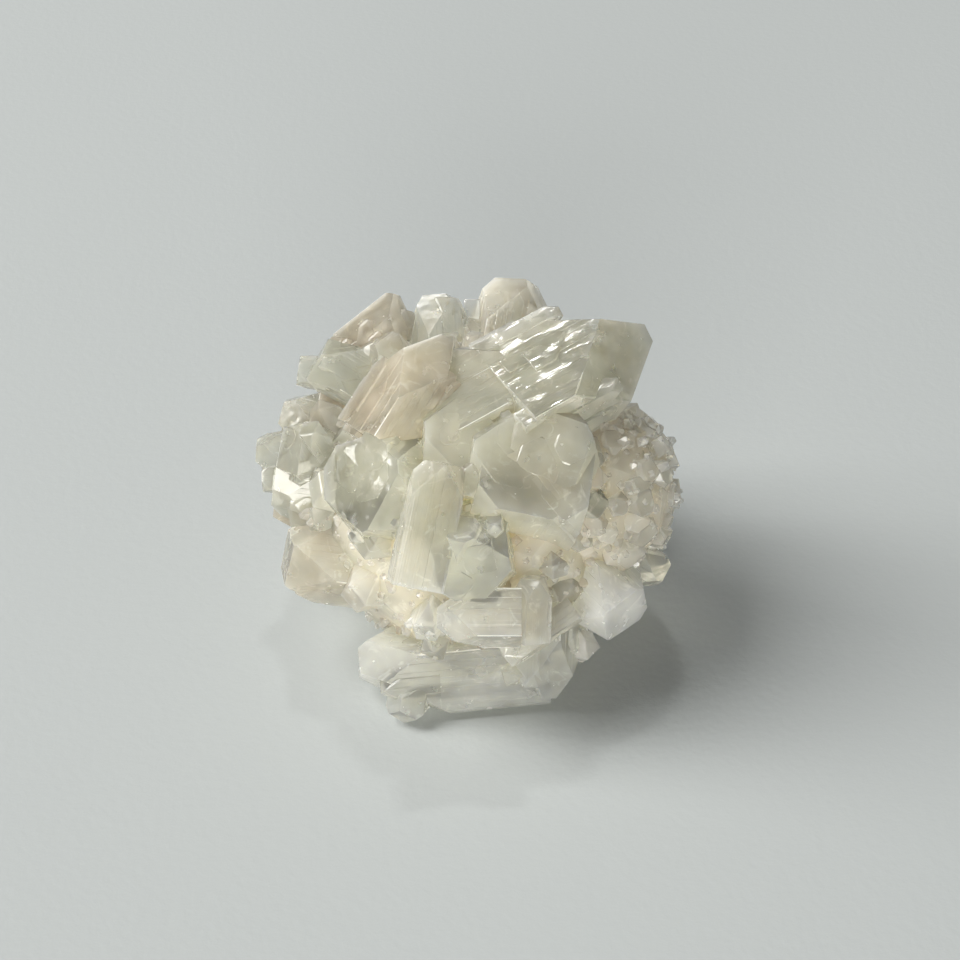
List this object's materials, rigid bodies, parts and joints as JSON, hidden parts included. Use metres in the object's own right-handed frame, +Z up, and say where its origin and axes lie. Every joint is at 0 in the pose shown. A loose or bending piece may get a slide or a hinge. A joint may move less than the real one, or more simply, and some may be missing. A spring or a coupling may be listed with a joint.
{
  "type": "apophyllite mineral specimen",
  "caption": "Ball-shaped natural cluster of pale, glassy apophyllite crystals with pointed and blocky ends, grown together, for display on the flat patch where it broke off its rock.",
  "frame": {"origin": "middle of the flat broken base, on the surface that the specimen rests on", "axes": "+Z up, out of the flat base; -Y towards the viewer of the show face; +X to that viewer's right, where the small blunt crystals are"},
  "size_m": [0.0618, 0.061, 0.0493],
  "materials": {
    "apophyllite": "vitreous, milky in places"
  },
  "bodies": {
    "root": {"apophyllite_cluster": "apophyllite"}
  },
  "joints": []
}
